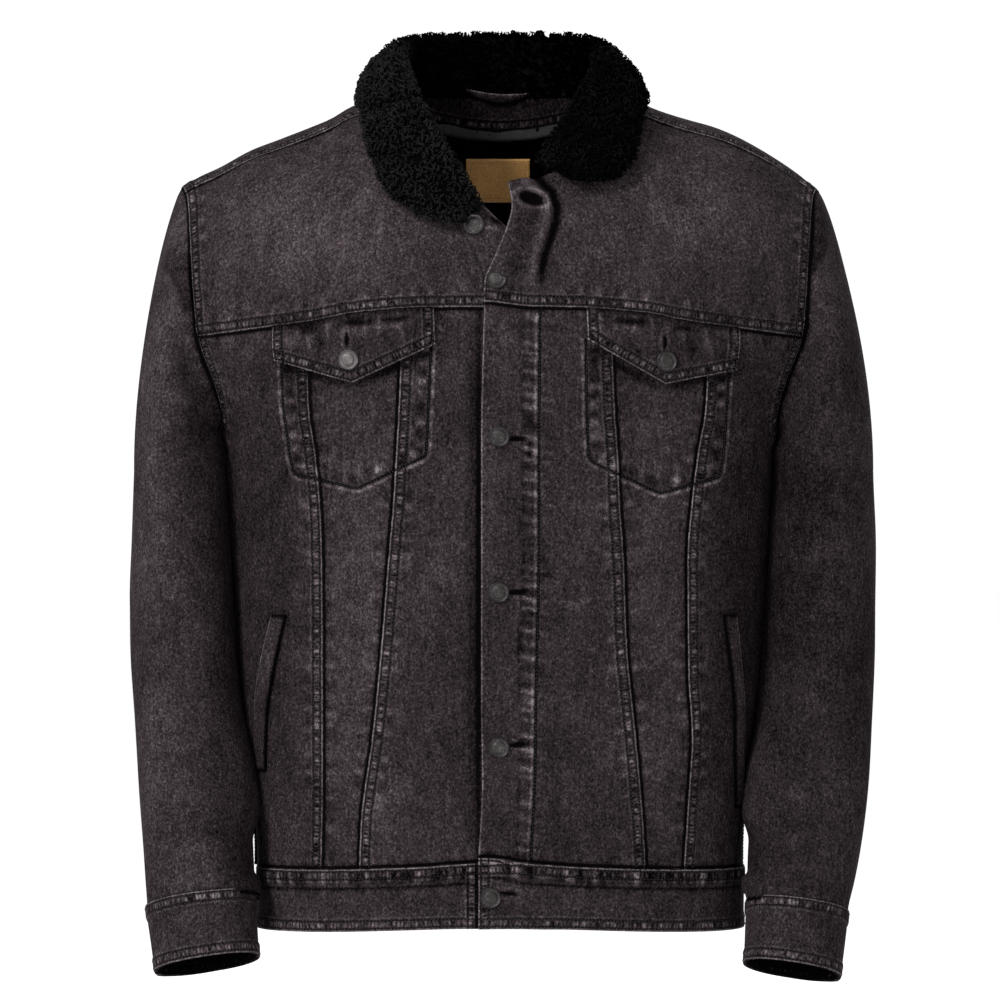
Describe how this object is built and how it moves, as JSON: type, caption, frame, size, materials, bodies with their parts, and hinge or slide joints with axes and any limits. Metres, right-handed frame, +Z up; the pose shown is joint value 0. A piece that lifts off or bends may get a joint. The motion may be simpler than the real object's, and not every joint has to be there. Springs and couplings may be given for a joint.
{
  "type": "jacket",
  "caption": "Waist-length jacket with a turned-down pile collar, buttoned front, flapped chest pockets, slanted hand pockets and cuffed sleeves, open at neck, hem and cuffs.",
  "frame": {"origin": "centre of the neck opening at the height of the high shoulder points", "axes": "+Z up along the wearer's neck, the front faces -Y, +X is the wearer's left"},
  "size_m": [0.6484, 0.2639, 0.8311],
  "materials": {
    "denim": "washed black denim",
    "sherpa": "curly pile",
    "tape": "herringbone tape",
    "label": "matte",
    "button": "aged gunmetal"
  },
  "bodies": {
    "root": {"back_panel": "denim", "back_yoke": "denim", "button_cuff_l": "button", "button_cuff_r": "button", "button_flap_l": "button", "button_flap_r": "button", "button_front_1": "button", "button_front_2": "button", "button_front_3": "button", "button_front_4": "button", "button_neck": "button", "button_waist": "button", "collar": "sherpa", "collar_stand": "denim", "cuff_l": "denim", "cuff_r": "denim", "flap_l": "denim", "flap_r": "denim", "front_centre_l": "denim", "front_centre_r": "denim", "front_mid_l": "denim", "front_mid_r": "denim", "front_side_l": "denim", "front_side_r": "denim", "front_yoke_l": "denim", "front_yoke_r": "denim", "hanger_loop": "denim", "lining_back": "sherpa", "lining_front_l": "sherpa", "lining_front_r": "sherpa", "neck_label": "label", "neck_tape": "tape", "sleeve_l": "denim", "sleeve_r": "denim", "waistband": "denim", "welt_l": "denim", "welt_r": "denim"}
  },
  "joints": []
}
